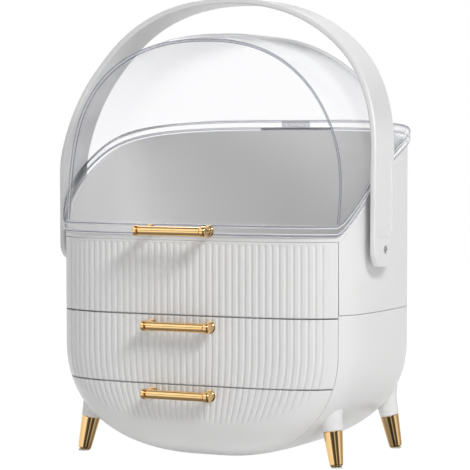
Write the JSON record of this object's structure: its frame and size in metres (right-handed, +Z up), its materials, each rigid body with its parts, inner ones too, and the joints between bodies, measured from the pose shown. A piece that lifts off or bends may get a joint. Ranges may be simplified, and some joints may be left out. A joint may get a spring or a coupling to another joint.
{
  "type": "makeup organizer",
  "caption": "Egg-shaped makeup organizer on splayed legs, with ribbed drawers, a display deck under a clear rear-hinged lid, and a folding carrying handle.",
  "frame": {"origin": "middle of the overall box on the floor between the feet", "axes": "+Z up, -Y toward the ribbed front and the pulls, +X to the viewer's right"},
  "size_m": [0.3118, 0.2538, 0.403],
  "materials": {
    "white_plastic": "smooth moulded white, semi-gloss",
    "clear_plastic": "clear polished acrylic",
    "gold_metal": "polished gold plating",
    "steel": "satin",
    "soft_pad": "matte"
  },
  "bodies": {
    "housing": {"lower_shell": "white_plastic", "upper_shell": "white_plastic", "base_plate": "white_plastic", "bay_floor": "white_plastic", "shelf": "white_plastic", "top_plate": "white_plastic", "rail_1_left": "white_plastic", "rail_1_right": "white_plastic", "rail_2_left": "white_plastic", "rail_2_right": "white_plastic", "front_panel": "white_plastic", "display_deck": "white_plastic", "pivot_boss_left": "white_plastic", "pivot_boss_right": "white_plastic", "leg_front_left": "white_plastic", "leg_front_right": "white_plastic", "leg_rear_left": "white_plastic", "leg_rear_right": "white_plastic", "ferrule_front_left": "gold_metal", "ferrule_front_right": "gold_metal", "ferrule_rear_left": "gold_metal", "ferrule_rear_right": "gold_metal", "hinge_leaf": "steel", "hinge_pin": "steel", "pivot_pin_left": "steel", "pivot_pin_right": "steel", "leg_screws": "steel", "foot_pads": "soft_pad"},
    "drawer_1": {"drawer_1_front": "white_plastic", "drawer_1_tray": "white_plastic", "drawer_1_pull": "gold_metal", "drawer_1_screws": "steel"},
    "drawer_2": {"drawer_2_front": "white_plastic", "drawer_2_tray": "white_plastic", "drawer_2_pull": "gold_metal", "drawer_2_screws": "steel"},
    "lid": {"lid": "clear_plastic", "lid_pull": "gold_metal", "lid_leaf": "steel"},
    "handle": {"handle": "white_plastic"}
  },
  "joints": [
    {"name": "drawer_1_slide", "type": "slide", "parent": "housing", "child": "drawer_1", "axis": [0, -1, 0], "range_m": [0, 0.12]},
    {"name": "drawer_2_slide", "type": "slide", "parent": "housing", "child": "drawer_2", "axis": [0, -1, 0], "range_m": [0, 0.11]},
    {"name": "lid_open", "type": "hinge", "parent": "housing", "child": "lid", "pos_m": [0, 0.1234, 0.2873], "axis": [-1, 0, 0], "range_deg": [0, 33]},
    {"name": "handle_fold", "type": "hinge", "parent": "housing", "child": "handle", "pos_m": [0, -0.0308, 0.1853], "axis": [1, 0, 0], "range_deg": [0, 101.64]}
  ],
  "couplings": [
    {"joint": "handle_fold", "follows": "lid_open", "ratio": 3.08}
  ]
}
